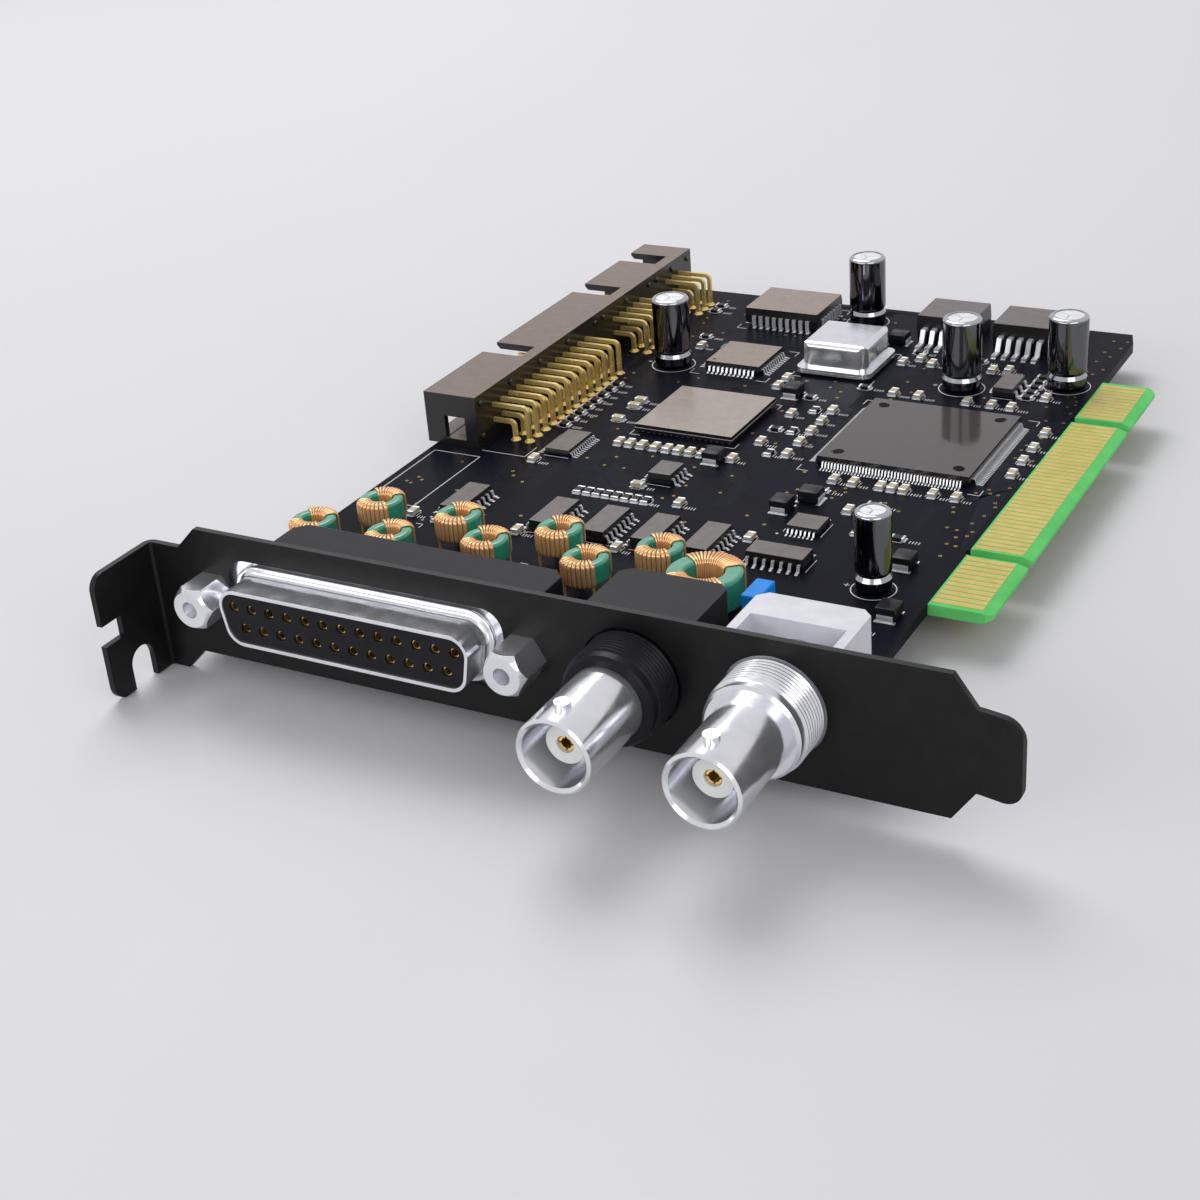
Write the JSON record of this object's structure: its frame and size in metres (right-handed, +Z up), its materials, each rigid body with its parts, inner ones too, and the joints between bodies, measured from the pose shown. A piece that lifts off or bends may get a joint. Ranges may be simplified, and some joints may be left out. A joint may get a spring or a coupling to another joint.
{
  "type": "sound card",
  "caption": "Full-height PCI sound card: slot bracket with a D-sub socket and two BNC sockets, board with edge connector, chips, capacitors, toroids and box headers.",
  "frame": {"origin": "on the seat face of the bracket's tab, level with the fixing screw in depth and halfway across the tab", "axes": "+X along the bracket from its tab to its tongue, +Y into the computer, +Z up from the component side of the board"},
  "size_m": [0.1201, 0.1622, 0.0216],
  "materials": {
    "bracket_black": "satin",
    "board_mask": "gloss",
    "gold": "polished",
    "nickel": "polished",
    "black_plastic": "satin",
    "header_plastic": "satin",
    "white_plastic": "satin",
    "insulator_white": "satin",
    "green_core": "gloss",
    "copper_wire": "gloss",
    "aluminium": "satin",
    "sleeve_black": "gloss",
    "bung_rubber": "matte",
    "chip_plastic": "satin",
    "tin": "bright",
    "blue_plastic": "gloss",
    "ceramic_tan": "satin",
    "resistor_black": "satin"
  },
  "bodies": {
    "root": {"slot_bracket": "bracket_black", "circuit_board": "board_mask", "edge_contacts": "gold", "dsub_shell": "nickel", "dsub_socket_block": "black_plastic", "dsub_contacts": "gold", "dsub_rear_housing": "black_plastic", "dsub_mounting_plate": "nickel", "jack_screws": "nickel", "bnc_in_housing": "black_plastic", "bnc_in_barrel": "nickel", "bnc_in_insulator": "insulator_white", "bnc_in_contact": "gold", "bnc_out_housing": "white_plastic", "bnc_out_barrel": "nickel", "bnc_out_insulator": "insulator_white", "bnc_out_contact": "gold", "header_26_housing": "header_plastic", "header_26_pins": "gold", "header_10_housing": "header_plastic", "header_10_pins": "gold", "header_6_housing": "header_plastic", "header_6_pins": "gold", "toroid_cores": "green_core", "toroid_windings": "copper_wire", "large_toroid_core": "green_core", "large_toroid_winding": "copper_wire", "large_toroid_base": "black_plastic", "capacitor_cans": "aluminium", "capacitor_sleeves": "sleeve_black", "capacitor_bungs": "bung_rubber", "capacitor_leads": "tin", "grid_chip_body": "chip_plastic", "grid_chip_balls": "tin", "bus_chip_body": "chip_plastic", "bus_chip_leads": "tin", "logic_chip_body": "chip_plastic", "logic_chip_leads": "tin", "memory_chip_body": "chip_plastic", "memory_chip_leads": "tin", "line_driver_bodies": "chip_plastic", "line_driver_leads": "tin", "buffer_chip_bodies": "chip_plastic", "buffer_chip_leads": "tin", "small_chip_bodies": "chip_plastic", "small_chip_leads": "tin", "regulator_bodies": "chip_plastic", "regulator_tabs": "tin", "regulator_leads": "tin", "oscillator_can": "nickel", "oscillator_base": "nickel", "jumper_base": "black_plastic", "jumper_pins": "gold", "jumper_cap": "blue_plastic", "chip_capacitors": "ceramic_tan", "chip_resistors": "resistor_black", "moulded_capacitors": "chip_plastic", "solder_joints": "tin"}
  },
  "joints": []
}
